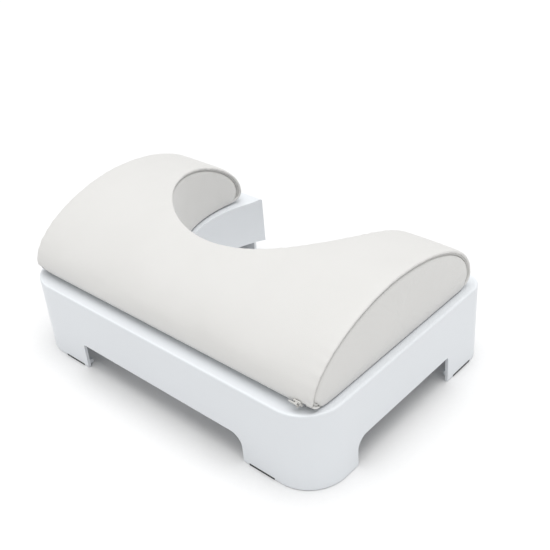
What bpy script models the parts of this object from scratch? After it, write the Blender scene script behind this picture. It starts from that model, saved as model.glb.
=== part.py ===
"""Half-round bolster pillow with a C-shaped cut-out, on a moulded plastic stand.

The frame is +X along the pillow, +Y towards the cut-out side (the rear) and +Z up, with the
origin on the floor under the middle of the stand. All sizes are in metres. The pillow sits in the
stand's shallow dish and lifts straight off it.
"""
import math

import bmesh
import bpy
import numpy as np
from mathutils import Matrix, Vector

# ------------------------------------------------------------------ driving dimensions
TOUCH = 0.0003                      # gap kept between pieces that touch

# stand
STAND_LENGTH = 0.420
STAND_WIDTH = 0.283
STAND_HEIGHT = 0.0918               # floor to rim
SKIRT_HEIGHT = 0.0590               # rim to the lower edge of the skirt
WALL = 0.0036
FRONT_CORNER = 0.0433               # plan radius of the front corners
REAR_CORNER = 0.0215
RIM_ROUND = 0.0016
RIM_LAND = 0.0025
DISH_DEPTH = 0.0024
DISH_SLOPE = 0.0150                 # width of the slope from the rim down to the dish floor
CUT_RADIUS = 0.1218
CUT_CENTRE_Y = 0.0748
LEG_EDGE_X = 0.1197                 # where the front and rear notches end
FRONT_LEG_EDGE_Y = -0.0785
REAR_LEG_EDGE_Y = 0.0743
NOTCH_ROUND = 0.0030
NOTCH_ROUND_WIDE = 0.0140           # both notches fade into the front-right leg with a wide fillet
NOTCH_FROM_X = 0.150                # the notches pass through the skirt alone, from this far out
NOTCH_FROM_Y = 0.100

# rubber pads, let into the lower edge of each leg
PAD_LENGTH = 0.0320
PAD_DEPTH = 0.0080
PAD_HEIGHT = 0.0022
PAD_PROUD = 0.0004                  # the pads stand this far below the plastic
FRONT_PAD_X = 0.1430
REAR_PAD_Y = 0.1010
LEDGE_LENGTH = 0.0400
LEDGE_DEPTH = 0.0100
LEDGE_HEIGHT = 0.0060

# pillow
PILLOW_LENGTH = 0.400
PILLOW_HALF_WIDTH = 0.1285
PILLOW_HEIGHT = 0.0785
ROLL_WIDTH = 0.0140                 # the long lower edges roll under, a quarter of an ellipse
ROLL_HEIGHT = 0.0140
FRONT_FULLNESS = 1.80               # superellipse exponents of the half-round section
REAR_FULLNESS = 2.00
PILLOW_CUT_CENTRE_Y = 0.0850        # the cut-out lies over the stand's own
PILLOW_CUT_RX = 0.1285
PILLOW_CUT_RY = 0.1320
SEAT_RISE = 0.0017                  # its corners rest this far up the dish's slope
END_INSET = 0.0022                  # the top panel's edge stands this far past the end panels
CUT_INSET = 0.0022                  # and past the cut-out panel
WELT_RADIUS = 0.0015                # cord in the groove between those panels and the top panel
WELT_START = 0.0100                 # from the zip, round the section, to where the cords begin
WELT_END = 0.0080                   # and from where they end to the seam under the rear edge
PANEL_FADE = 0.0060                 # the upright panels come out to the skin over this length

# layers, measured inwards from the skin of the pillow
COVER = 0.0015
TAPE = 0.0006
LINER = 0.0006
COMFORT = 0.0180
LINER_SLIT_LENGTH = 0.3000          # the opening under the liner that the foam goes in through
LINER_SLIT_Y = (-0.0860, -0.0780)

# zip, along the front edge roll
ZIP_ANGLE = math.radians(20.0)      # along the front edge roll, below its widest line
ZIP_SLIT = 0.0034
ZIP_HALF_LENGTH = 0.1885
TAPE_END = 0.0040                   # tape past each end of the coils
COIL_WIDTH = 0.0012
COIL_DEPTH = 0.0003                 # skin to the coils' outer face
COIL_GAP = 0.0002                   # from the zip's middle to each coil and tape
TAPE_WIDTH = 0.0100
STOP_WIDTH = 0.0026
STOP_LENGTH = 0.0032
STOP_GAP = 0.0004                   # between the coils' ends and the stops
SLIDER_LENGTH = 0.0076
SLIDER_WIDTH = 0.0062
SLIDER_THICK = 0.0014
SLIDER_X = 0.1843                   # middle of the slider with the zip closed
PULL_LENGTH = 0.0095
PULL_WIDTH = 0.0034
PULL_THICK = 0.0009
PULL_EYE = 0.00075
EYE_MARGIN = 0.0004                 # the lugs' metal round the eye's line
PIN_RADIUS = 0.00040
PIN_HOLE = 0.00052
LUG_THICK = 0.0009

# worked out from the above
DECK_TOP = STAND_HEIGHT - DISH_DEPTH
SKIRT_BOTTOM = STAND_HEIGHT - SKIRT_HEIGHT
SEAT_Z = DECK_TOP + SEAT_RISE       # underside of the pillow
HALF_LENGTH = PILLOW_LENGTH / 2
END_FACE_X = HALF_LENGTH - END_INSET
TAPE_INSET = COVER + TOUCH
LINER_INSET = TAPE_INSET + TAPE + TOUCH
FOAM_INSET = LINER_INSET + LINER + TOUCH
CUT_PANEL_INSET = CUT_INSET + COVER
SEAM_DEPTH = COVER + 2 * WELT_RADIUS + 2 * TOUCH

CIRCLE_STEPS = 56
BORE_STEPS = 12


# ------------------------------------------------------------------ scene and collections
def clear_scene():
    for obj in list(bpy.data.objects):
        bpy.data.objects.remove(obj, do_unlink=True)


def make_collection(name):
    collection = bpy.data.collections.new(name)
    bpy.context.scene.collection.children.link(collection)
    return collection


clear_scene()
PARTS = make_collection("bolster_pillow")
CUTTERS = make_collection("cutters")


def make_material(name, colour, roughness, metallic=0.0):
    material = bpy.data.materials.new(name)
    material.use_nodes = True
    shader = material.node_tree.nodes["Principled BSDF"]
    shader.inputs["Base Color"].default_value = (*colour, 1.0)
    shader.inputs["Roughness"].default_value = roughness
    shader.inputs["Metallic"].default_value = metallic
    material.diffuse_color = (*colour, 1.0)
    return material


PLASTIC = dict(colour=(0.80, 0.82, 0.84), roughness=0.35)
RUBBER = dict(colour=(0.05, 0.05, 0.055), roughness=0.8)
COVER_CLOTH = dict(colour=(0.84, 0.83, 0.80), roughness=0.55)
LINER_CLOTH = dict(colour=(0.88, 0.88, 0.87), roughness=0.8)
FIRM_FOAM = dict(colour=(0.72, 0.80, 0.84), roughness=0.95)
SOFT_FOAM = dict(colour=(0.90, 0.86, 0.70), roughness=0.95)
TAPE_CLOTH = dict(colour=(0.82, 0.81, 0.78), roughness=0.8)
NYLON = dict(colour=(0.78, 0.77, 0.74), roughness=0.4)
ZINC = dict(colour=(0.30, 0.30, 0.31), roughness=0.35, metallic=1.0)
ENAMEL = dict(colour=(0.66, 0.65, 0.62), roughness=0.40)


# ------------------------------------------------------------------ making solids
def add_object(name, mesh, look=None):
    """Link a mesh as a part with its own material, or as a cutter when it has no look."""
    mesh.name = name
    obj = bpy.data.objects.new(name, mesh)
    if look is None:
        CUTTERS.objects.link(obj)
        obj.hide_render = True
        obj.display_type = "WIRE"
    else:
        PARTS.objects.link(obj)
        mesh.materials.clear()
        mesh.materials.append(make_material(name, **look))
    return obj


def mesh_from_curve(curve, weld=1e-6):
    """The closed mesh of a curve object, with its caps welded on."""
    obj = bpy.data.objects.new(curve.name, curve)
    bpy.context.scene.collection.objects.link(obj)
    graph = bpy.context.evaluated_depsgraph_get()
    mesh = bpy.data.meshes.new_from_object(obj.evaluated_get(graph), depsgraph=graph)
    bpy.data.objects.remove(obj, do_unlink=True)
    work = bmesh.new()
    work.from_mesh(mesh)
    bmesh.ops.remove_doubles(work, verts=work.verts, dist=weld)
    bmesh.ops.recalc_face_normals(work, faces=work.faces)
    work.to_mesh(mesh)
    work.free()
    return mesh


ALONG_Z = Matrix.Identity(4)
# a drawing in (y, z), extruded along x
ALONG_X = Matrix(((0, 0, 1, 0), (1, 0, 0, 0), (0, 1, 0, 0), (0, 0, 0, 1)))
# a drawing in (x, z), extruded along -y
ALONG_Y = Matrix(((1, 0, 0, 0), (0, 0, -1, 0), (0, 1, 0, 0), (0, 0, 0, 1)))


def prism(name, outline, low, high, look=None, frame=ALONG_Z):
    """A flat outline, extruded from low to high along the frame's third axis."""
    curve = bpy.data.curves.new(name, "CURVE")
    curve.dimensions = "2D"
    curve.fill_mode = "BOTH"
    curve.extrude = (high - low) / 2
    spline = curve.splines.new("POLY")
    spline.points.add(len(outline) - 1)
    for point, (u, v) in zip(spline.points, outline):
        point.co = (u, v, 0.0, 1.0)
    spline.use_cyclic_u = True
    mesh = mesh_from_curve(curve)
    mesh.transform(frame @ Matrix.Translation((0, 0, (low + high) / 2)))
    return add_object(name, mesh, look)


def box(name, low, high, look=None):
    work = bmesh.new()
    bmesh.ops.create_cube(work, size=1.0)
    size = [b - a for a, b in zip(low, high)]
    middle = [(a + b) / 2 for a, b in zip(low, high)]
    bmesh.ops.scale(work, vec=size, verts=work.verts)
    bmesh.ops.translate(work, vec=middle, verts=work.verts)
    mesh = bpy.data.meshes.new(name)
    work.to_mesh(mesh)
    work.free()
    return add_object(name, mesh, look)


def rod(name, start, end, radius, look=None, steps=BORE_STEPS):
    """A round bar from start to end."""
    start, end = Vector(start), Vector(end)
    along = end - start
    turn = along.to_track_quat("Z", "Y").to_matrix().to_4x4()
    work = bmesh.new()
    bmesh.ops.create_cone(
        work, cap_ends=True, segments=steps, radius1=radius, radius2=radius, depth=along.length,
        matrix=Matrix.Translation((start + end) / 2) @ turn)
    mesh = bpy.data.meshes.new(name)
    work.to_mesh(mesh)
    work.free()
    return add_object(name, mesh, look)


def tube(name, path, radius, look):
    """A round cord with closed ends along a path."""
    curve = bpy.data.curves.new(name, "CURVE")
    curve.dimensions = "3D"
    curve.bevel_depth = radius
    curve.bevel_resolution = 1
    curve.use_fill_caps = True
    spline = curve.splines.new("POLY")
    spline.points.add(len(path) - 1)
    for point, place in zip(spline.points, path):
        point.co = (*place, 1.0)
    return add_object(name, mesh_from_curve(curve), look)


def stacked(name, rings, look=None):
    """A solid lofted through level rings of points, capped top and bottom."""
    work = bmesh.new()
    loops = [[work.verts.new(place) for place in ring] for ring in rings]
    count = len(rings[0])
    work.faces.new(reversed(loops[0]))
    for lower, upper in zip(loops, loops[1:]):
        for i in range(count):
            j = (i + 1) % count
            work.faces.new((lower[i], lower[j], upper[j], upper[i]))
    work.faces.new(loops[-1])
    mesh = bpy.data.meshes.new(name)
    work.to_mesh(mesh)
    work.free()
    return add_object(name, mesh, look)


def boolean(target, cutter, operation):
    modifier = target.modifiers.new(operation.lower() + "_" + cutter.name, "BOOLEAN")
    modifier.operation = operation
    modifier.solver = "EXACT"
    modifier.object = cutter
    return target


def cut(target, *cutters):
    for cutter in cutters:
        boolean(target, cutter, "DIFFERENCE")
    return target


def join(target, *others):
    for other in others:
        boolean(target, other, "UNION")
    return target


def keep_inside(target, other):
    return boolean(target, other, "INTERSECT")


# ------------------------------------------------------------------ outlines
def arc(centre, radius, start, stop, steps):
    """Points of an arc, angles in degrees, both ends included."""
    angles = np.radians(np.linspace(start, stop, steps + 1))
    return [(centre[0] + radius * math.cos(a), centre[1] + radius * math.sin(a)) for a in angles]


def stand_outline(inset=0.0):
    """The stand's plan: a rectangle with wide front corners and tighter rear corners."""
    half_x = STAND_LENGTH / 2 - inset
    half_y = STAND_WIDTH / 2 - inset
    front = max(FRONT_CORNER - inset, 0.0008)
    rear = max(REAR_CORNER - inset, 0.0008)
    corner = 8
    points = arc((half_x - front, -half_y + front), front, -90, 0, corner)
    points += arc((half_x - rear, half_y - rear), rear, 0, 90, corner)
    points += arc((-half_x + rear, half_y - rear), rear, 90, 180, corner)
    points += arc((-half_x + front, -half_y + front), front, 180, 270, corner)
    return points


def circle_outline(radius, centre_y, steps=CIRCLE_STEPS):
    return arc((0.0, centre_y), radius, 0, 360, steps)[:-1]


def pillow_cut_outline(offset=0.0, steps=CIRCLE_STEPS):
    """The pillow's cut-out in plan, grown by offset."""
    return [((PILLOW_CUT_RX + offset) * math.cos(a),
             PILLOW_CUT_CENTRE_Y + (PILLOW_CUT_RY + offset) * math.sin(a))
            for a in np.linspace(0, 2 * math.pi, steps, endpoint=False)]


def notch_outline(low, high, round_low, round_high):
    """An upright opening from below the floor to the skirt's edge, its upper corners rounded."""
    floor = -0.010
    top = SKIRT_BOTTOM
    points = [(low, floor), (high, floor)]
    points += arc((high - round_high, top - round_high), round_high, 0, 90, 6)
    points += arc((low + round_low, top - round_low), round_low, 90, 180, 6)
    return points


# ------------------------------------------------------------------ the pillow's section
def dense_section():
    """The D-section as a closed run of (y, z) points that starts at the zip and goes up the front."""
    half, roll, roll_height = PILLOW_HALF_WIDTH, ROLL_WIDTH, ROLL_HEIGHT
    rise = PILLOW_HEIGHT - roll_height
    points = []
    for a in np.linspace(ZIP_ANGLE, 0, 40, endpoint=False):
        points.append((-(half - roll) - roll * math.cos(a), roll_height * (1 - math.sin(a))))
    for a in np.linspace(0, math.pi, 1200, endpoint=False):
        fullness = FRONT_FULLNESS if a < math.pi / 2 else REAR_FULLNESS
        side = math.copysign(abs(math.cos(a)) ** (2 / fullness), math.cos(a))
        points.append((-half * side, roll_height + rise * math.sin(a) ** (2 / fullness)))
    for a in np.linspace(0, math.pi / 2, 120, endpoint=False):
        points.append((half - roll + roll * math.cos(a), roll_height * (1 - math.sin(a))))
    for y in np.linspace(half - roll, -(half - roll), 200, endpoint=False):
        points.append((y, 0.0))
    for a in np.linspace(math.pi / 2, ZIP_ANGLE, 80, endpoint=False):
        points.append((-(half - roll) - roll * math.cos(a), roll_height * (1 - math.sin(a))))
    return np.array(points)


SECTION = dense_section()
SECTION_STEPS = np.linalg.norm(np.roll(SECTION, -1, axis=0) - SECTION, axis=1)
SECTION_LENGTH = SECTION_STEPS.sum()
SECTION_AT = np.concatenate([[0.0], np.cumsum(SECTION_STEPS)])


def section_point(distance, inset=0.0):
    """A point of the section, distance along it from the zip, moved inwards by inset."""
    def place(along):
        along = along % SECTION_LENGTH
        ring = np.vstack([SECTION, SECTION[:1]])
        return np.array([np.interp(along, SECTION_AT, ring[:, k]) for k in (0, 1)])

    here = place(distance)
    ahead = place(distance + 0.0006) - place(distance - 0.0006)
    ahead /= np.linalg.norm(ahead)
    inward = np.array([ahead[1], -ahead[0]])
    return here + inset * inward


def distance_where(test):
    """How far along the section the first point is that passes a test on (y, z)."""
    index = next(i for i, point in enumerate(SECTION) if test(point))
    return SECTION_AT[index]


REAR_SEAM = distance_where(lambda p: p[0] > 0 and p[1] <= 0) + 0.004
ROLL_TOP = distance_where(lambda p: p[1] >= ROLL_HEIGHT)
REAR_ROLL_TOP = distance_where(lambda p: p[0] > 0 and p[1] <= ROLL_HEIGHT)
ROLL_BOTTOM = distance_where(lambda p: p[1] <= 0 and p[0] <= ROLL_WIDTH - PILLOW_HALF_WIDTH + 1e-6)


def section_stops(start, stop, dome_steps=44):
    """Distances from start to stop that follow the section's bends, and skip along its flat."""
    marks = [start, stop]
    marks += list(np.linspace(0, ROLL_TOP, 4))
    marks += list(np.linspace(ROLL_TOP, REAR_ROLL_TOP, dome_steps))
    marks += list(np.linspace(REAR_ROLL_TOP, REAR_SEAM - 0.004, 7))
    marks += list(np.linspace(ROLL_BOTTOM, SECTION_LENGTH, 6))
    marks += [mark - SECTION_LENGTH for mark in marks if mark > SECTION_LENGTH / 2]
    smallest = min(0.0012, (stop - start) / 3)
    kept = [start]
    for mark in sorted(marks):
        if start < mark < stop and mark - kept[-1] > smallest and stop - mark > smallest:
            kept.append(mark)
    return kept + [stop]


def band_outline(start, stop, outer, inner):
    """A strip of the section's skin, between two distances and two depths."""
    stops = section_stops(start, stop)
    return ([section_point(s, outer) for s in stops]
            + [section_point(s, inner) for s in reversed(stops)])


def full_outline(inset):
    return [section_point(s, inset) for s in section_stops(0.0, SECTION_LENGTH)[:-1]]


def panel_outline():
    """The edge of the upright panels: behind the welts above, close to the skin underneath."""
    under = COVER + TOUCH
    marks = [0.0, REAR_SEAM - PANEL_FADE, REAR_SEAM, SECTION_LENGTH - PANEL_FADE, SECTION_LENGTH]
    depths = [SEAM_DEPTH, SEAM_DEPTH, under, under, SEAM_DEPTH]
    return [section_point(s, np.interp(s, marks, depths))
            for s in section_stops(0.0, SECTION_LENGTH)[:-1]]


def lift_to_seat(obj):
    """Section drawings have their lower face at zero: raise the piece onto the dish floor."""
    obj.data.transform(Matrix.Translation((0, 0, SEAT_Z)))
    return obj


def band(name, start, stop, outer, inner, low_x, high_x, look=None):
    outline = band_outline(start, stop, outer, inner)
    return lift_to_seat(prism(name, outline, low_x, high_x, look, ALONG_X))


def full_section(name, inset, half_x, look=None):
    return lift_to_seat(prism(name, full_outline(inset), -half_x, half_x, look, ALONG_X))


def cut_prism(name, offset):
    return prism(name, pillow_cut_outline(offset), 0.0, 0.30)


# ------------------------------------------------------------------ stand
def stand_rings():
    """Outer wall, rounded rim, narrow land, then the concave slope down to the dish floor."""
    rings = [(0.0, PAD_PROUD), (0.0, STAND_HEIGHT - RIM_ROUND)]
    for a in np.radians([30, 60, 90]):
        rings.append((RIM_ROUND * (1 - math.cos(a)), STAND_HEIGHT - RIM_ROUND * (1 - math.sin(a))))
    rings.append((RIM_LAND, STAND_HEIGHT))
    for part in np.linspace(0.2, 1.0, 5):
        rings.append((RIM_LAND + DISH_SLOPE * part, DECK_TOP + DISH_DEPTH * (1 - part) ** 2))
    return [[(x, y, z) for x, y in stand_outline(inset)] for inset, z in rings]


def hollow_cutter():
    """The space under the deck: inside the skirt, outside the wall round the cut-out."""
    hollow = prism("hollow", stand_outline(WALL), -0.02, DECK_TOP - WALL)
    keep = prism("hollow_keep", circle_outline(CUT_RADIUS + WALL, CUT_CENTRE_Y), -0.03, 0.2)
    return cut(hollow, keep)


def pad_places():
    """Each pad's name, its low and high corner, and which way its leg's wall faces."""
    low, high = 0.0, PAD_HEIGHT
    half_x, half_y = STAND_LENGTH / 2, STAND_WIDTH / 2
    half = PAD_LENGTH / 2
    places = {}
    for side, sign in (("left", -1), ("right", 1)):
        x = sign * FRONT_PAD_X
        places["foot_pad_front_" + side] = (
            (x - half, -half_y, low), (x + half, -half_y + PAD_DEPTH, high))
        outer, inner = sign * half_x, sign * (half_x - PAD_DEPTH)
        places["foot_pad_back_" + side] = (
            (min(outer, inner), REAR_PAD_Y - half, low), (max(outer, inner), REAR_PAD_Y + half, high))
    return places


def grown(low, high, sideways, up, outwards):
    """A box grown past the stand's wall, for the recess that a pad sits in."""
    low, high = list(low), list(high)
    for axis, limit in ((0, STAND_LENGTH / 2), (1, STAND_WIDTH / 2)):
        low[axis] -= outwards if abs(low[axis] + limit) < 1e-6 else sideways
        high[axis] += outwards if abs(high[axis] - limit) < 1e-6 else sideways
    low[2] -= outwards
    high[2] += up
    return low, high


def ledge(name, low, high):
    """A thickening inside the leg's lower edge, over the pad, buried in the wall's middle."""
    spare = (LEDGE_LENGTH - PAD_LENGTH) / 2
    low, high = list(low), list(high)
    for axis, limit in ((0, STAND_LENGTH / 2), (1, STAND_WIDTH / 2)):
        if abs(low[axis] + limit) < 1e-6:
            low[axis], high[axis] = -limit + WALL / 2, -limit + LEDGE_DEPTH
        elif abs(high[axis] - limit) < 1e-6:
            low[axis], high[axis] = limit - LEDGE_DEPTH, limit - WALL / 2
        else:
            low[axis] -= spare
            high[axis] += spare
    low[2], high[2] = PAD_PROUD + TOUCH, LEDGE_HEIGHT
    return box(name, low, high)


def stand_shell():
    shell = stacked("stand_shell", stand_rings(), PLASTIC)
    cut(shell, hollow_cutter())
    cut(shell, prism("stand_cut", circle_outline(CUT_RADIUS, CUT_CENTRE_Y), -0.05, 0.25))
    reach = STAND_LENGTH
    cut(shell,
        prism("notch_front", notch_outline(-LEG_EDGE_X, LEG_EDGE_X, NOTCH_ROUND, NOTCH_ROUND_WIDE),
              NOTCH_FROM_Y, reach, frame=ALONG_Y),
        prism("notch_rear", notch_outline(-LEG_EDGE_X, LEG_EDGE_X, NOTCH_ROUND, NOTCH_ROUND),
              -reach, -NOTCH_FROM_Y, frame=ALONG_Y),
        prism("notch_right",
              notch_outline(FRONT_LEG_EDGE_Y, REAR_LEG_EDGE_Y, NOTCH_ROUND_WIDE, NOTCH_ROUND),
              NOTCH_FROM_X, reach, frame=ALONG_X),
        prism("notch_left",
              notch_outline(FRONT_LEG_EDGE_Y, REAR_LEG_EDGE_Y, NOTCH_ROUND, NOTCH_ROUND),
              -reach, -NOTCH_FROM_X, frame=ALONG_X),
        prism("notch_cut_wall", circle_outline(CUT_RADIUS + WALL + 0.001, CUT_CENTRE_Y),
              -0.01, SKIRT_BOTTOM))
    for name, (low, high) in pad_places().items():
        join(shell, ledge(name + "_ledge", low, high))
    for name, (low, high) in pad_places().items():
        cut(shell, box(name + "_recess", *grown(low, high, TOUCH, TOUCH, 0.004)))
    return shell


def foot_pads():
    for name, (low, high) in pad_places().items():
        pad = box(name, low, high, RUBBER)
        rounding = pad.modifiers.new("soft_edges", "BEVEL")
        rounding.width = 0.0003
        rounding.segments = 1


# ------------------------------------------------------------------ pillow cover
def cover_top_panel():
    """One piece from the zip, over the top, to the seam under the rear edge."""
    panel = band("cover_top_panel", ZIP_SLIT / 2, REAR_SEAM, 0.0, COVER,
                 -HALF_LENGTH, HALF_LENGTH, COVER_CLOTH)
    cut(panel, cut_prism("top_panel_cut", 0.0))


def cover_bottom_panel():
    """Flat underneath, turned up at the front to meet the zip."""
    panel = band("cover_bottom_panel", REAR_SEAM + TOUCH, SECTION_LENGTH - ZIP_SLIT / 2, 0.0, COVER,
                 -HALF_LENGTH, HALF_LENGTH, COVER_CLOTH)
    cut(panel, cut_prism("bottom_panel_cut", CUT_INSET))


def cover_end_panels():
    outline = panel_outline()
    for side, sign in (("left", -1), ("right", 1)):
        inner, outer = sign * (END_FACE_X - COVER), sign * END_FACE_X
        name = "cover_end_panel_" + side
        lift_to_seat(prism(name, outline, min(inner, outer), max(inner, outer), COVER_CLOTH, ALONG_X))


def cover_cutout_panel():
    """The upright lining of the cut-out, standing on the bottom panel under the top panel."""
    panel = prism("cover_cutout_panel", pillow_cut_outline(CUT_PANEL_INSET), SEAT_Z - 0.01,
                  SEAT_Z + PILLOW_HEIGHT + 0.01, COVER_CLOTH)
    cut(panel, cut_prism("cutout_panel_inside", CUT_INSET))
    half = END_FACE_X - COVER - 2 * TOUCH
    limit = lift_to_seat(prism("cutout_panel_limit", panel_outline(), -half, half, frame=ALONG_X))
    keep_inside(panel, limit)


def end_welts():
    """Cords in the groove between the top panel's edge and each end panel."""
    inset = COVER + TOUCH + WELT_RADIUS
    stops = np.linspace(WELT_START, REAR_SEAM - WELT_END, 52)
    path = [section_point(s, inset) for s in stops]
    for side, sign in (("left", -1), ("right", 1)):
        x = sign * (END_FACE_X - COVER + WELT_RADIUS)
        tube("seam_welt_" + side, [(x, y, z + SEAT_Z) for y, z in path], WELT_RADIUS, COVER_CLOTH)


def resampled(points, count):
    points = np.array(points)
    steps = np.linalg.norm(np.diff(points, axis=0), axis=1)
    at = np.concatenate([[0.0], np.cumsum(steps)])
    wanted = np.linspace(0.0, at[-1], count)
    return [tuple(np.interp(s, at, points[:, k]) for k in range(3)) for s in wanted]


def cutout_welt():
    """The same cord along the upper edge of the cut-out, from one arm's rear to the other's."""
    inset = COVER + TOUCH + WELT_RADIUS
    offset = CUT_PANEL_INSET - WELT_RADIUS
    rx, ry = PILLOW_CUT_RX + offset, PILLOW_CUT_RY + offset
    front = PILLOW_CUT_CENTRE_Y - ry
    half = []
    for s in np.linspace(REAR_SEAM - WELT_END, ROLL_TOP, 900):
        y, z = section_point(s, inset)
        if y <= front:
            break
        reach = 1 - ((y - PILLOW_CUT_CENTRE_Y) / ry) ** 2
        half.append((rx * math.sqrt(max(reach, 0.0)), y, z + SEAT_Z))
    other = [(-x, y, z) for x, y, z in reversed(half)]
    tube("seam_welt_cutout", resampled(half + other, 84), WELT_RADIUS, COVER_CLOTH)


# ------------------------------------------------------------------ zip
ZIP_CENTRE = section_point(0.0)
ZIP_OUTWARD = section_point(0.0, -1.0) - ZIP_CENTRE
ZIP_DOWNWARD = np.array([-ZIP_OUTWARD[1], ZIP_OUTWARD[0]])


def zip_point(along, out):
    """A point of the zip's own plane: along the skin (down is positive) and outwards, as (y, z)."""
    y, z = ZIP_CENTRE + along * ZIP_DOWNWARD + out * ZIP_OUTWARD
    return y, z + SEAT_Z


def zip_chain():
    """Two tapes behind the slit, a coil on each tape's edge, and a stop at each end."""
    end = ZIP_HALF_LENGTH
    for name, sign in (("upper", 1), ("lower", -1)):
        tape = sorted((sign * COIL_GAP, sign * TAPE_WIDTH))
        band("zip_tape_" + name, *tape, TAPE_INSET, TAPE_INSET + TAPE,
             -end - TAPE_END, end + TAPE_END, TAPE_CLOTH)
        coil = sorted((sign * COIL_GAP, sign * (COIL_GAP + COIL_WIDTH)))
        band("zip_coil_" + name, *coil, COIL_DEPTH, COVER, -end, end, NYLON)
    near, far = end + STOP_GAP, end + STOP_GAP + STOP_LENGTH
    for name, low, high in (("start", -far, -near), ("end", near, far)):
        band("zip_stop_" + name, -STOP_WIDTH / 2, STOP_WIDTH / 2, COIL_DEPTH, COVER, low, high, ZINC)


def hinge_height():
    return TOUCH + SLIDER_THICK + TOUCH + PULL_EYE


def zip_slider():
    """The slider's plate, with two lugs that carry the pull tab's pins."""
    half_length, half_width = SLIDER_LENGTH / 2, SLIDER_WIDTH / 2
    plate = band("zip_slider", -half_width, half_width, -TOUCH - SLIDER_THICK, -TOUCH,
                 SLIDER_X - half_length, SLIDER_X + half_length, ENAMEL)
    out = hinge_height()
    inner, outer = PULL_WIDTH / 2 + TOUCH, PULL_WIDTH / 2 + TOUCH + LUG_THICK
    half = PULL_EYE + EYE_MARGIN
    root = TOUCH + SLIDER_THICK / 3
    for name, sign in (("a", -1), ("b", 1)):
        near, far = sorted((sign * inner, sign * outer))
        corners = [(near, root), (far, root), (far, out + half), (near, out + half)]
        outline = [zip_point(*corner) for corner in corners]
        join(plate, prism("slider_lug_" + name, outline, SLIDER_X - half, SLIDER_X + half,
                          frame=ALONG_X))
    reach = outer + 0.001
    ends = [(SLIDER_X, *zip_point(sign * reach, out)) for sign in (-1, 1)]
    cut(plate, rod("slider_bore", *ends, PIN_HOLE))


def zip_pull_tab():
    """A flat tab with an eye and two stub pins, lying back along the closed zip."""
    out = hinge_height()
    half_thick = PULL_THICK / 2
    half = PULL_WIDTH / 2
    reach = half + TOUCH + LUG_THICK
    origin = Vector((SLIDER_X, *zip_point(0.0, out)))
    outline = [(0.0, -half), (0.0, half), (-PULL_LENGTH * 0.55, half)]
    outline += [(-PULL_LENGTH + half * 0.8 - half * 0.8 * math.cos(a), half * 0.8 * math.sin(a))
                for a in np.linspace(math.pi / 2, -math.pi / 2, 9)]
    outline += [(-PULL_LENGTH * 0.55, -half)]
    tab = prism("zip_pull_tab", outline, -half_thick, half_thick, ENAMEL)
    # the drawing's axes: x along the zip, y down the skin, z outwards
    down = Vector((0, *ZIP_DOWNWARD))
    outward = Vector((0, *ZIP_OUTWARD))
    turn = Matrix((Vector((1, 0, 0)), down, outward)).transposed().to_4x4()
    tab.data.transform(turn)
    tab.location = origin
    eye_ends = [Vector((SLIDER_X, *zip_point(sign * half, out))) for sign in (-1, 1)]
    pin_ends = [Vector((SLIDER_X, *zip_point(sign * reach, out))) for sign in (-1, 1)]
    join(tab, rod("tab_eye", *eye_ends, PULL_EYE), rod("tab_pins", *pin_ends, PIN_RADIUS))


# ------------------------------------------------------------------ filling
def inner_liner():
    """A thin sack round the foam, open along a slit underneath where the foam goes in."""
    half = END_FACE_X - COVER - TOUCH
    sack = full_section("inner_liner", LINER_INSET, half, LINER_CLOTH)
    cut(sack, cut_prism("liner_cut", CUT_PANEL_INSET + TOUCH))
    space = full_section("liner_space", LINER_INSET + LINER, half - LINER)
    cut(space, cut_prism("liner_space_cut", CUT_PANEL_INSET + TOUCH + LINER))
    cut(sack, space)
    (low_y, high_y), half_slit = LINER_SLIT_Y, LINER_SLIT_LENGTH / 2
    cut(sack, box("liner_slit", (-half_slit, low_y, SEAT_Z - 0.01), (half_slit, high_y, SEAT_Z + 0.006)))


def foam_half_length():
    return END_FACE_X - COVER - TOUCH - LINER - TOUCH


def foam_cut_offset():
    return CUT_PANEL_INSET + TOUCH + LINER + TOUCH


def core_outline(shrink):
    """The firm block's half-round section: the soft layer's inner face, or the block inside it."""
    base = FOAM_INSET
    half = PILLOW_HALF_WIDTH - FOAM_INSET - COMFORT - shrink
    rise = PILLOW_HEIGHT - 2 * FOAM_INSET - COMFORT - shrink
    return [(-half * math.cos(a), base + rise * math.sin(a)) for a in np.linspace(0, math.pi, 33)]


def comfort_layer():
    half = foam_half_length()
    layer = full_section("comfort_layer", FOAM_INSET, half, SOFT_FOAM)
    arch = core_outline(0.0)
    arch = [(arch[0][0], -0.01)] + arch + [(arch[-1][0], -0.01)]
    room = lift_to_seat(prism("comfort_room", arch, -half - 0.01, half + 0.01, frame=ALONG_X))
    cut(layer, room, cut_prism("comfort_cut", foam_cut_offset()))


def foam_core():
    half = foam_half_length()
    outline = core_outline(TOUCH)
    core = lift_to_seat(prism("foam_core", outline, -half, half, FIRM_FOAM, ALONG_X))
    cut(core, cut_prism("core_cut", foam_cut_offset()))


def build():
    stand_shell()
    foot_pads()
    cover_top_panel()
    cover_bottom_panel()
    cover_end_panels()
    cover_cutout_panel()
    end_welts()
    cutout_welt()
    zip_chain()
    zip_slider()
    zip_pull_tab()
    inner_liner()
    comfort_layer()
    foam_core()


build()
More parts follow.
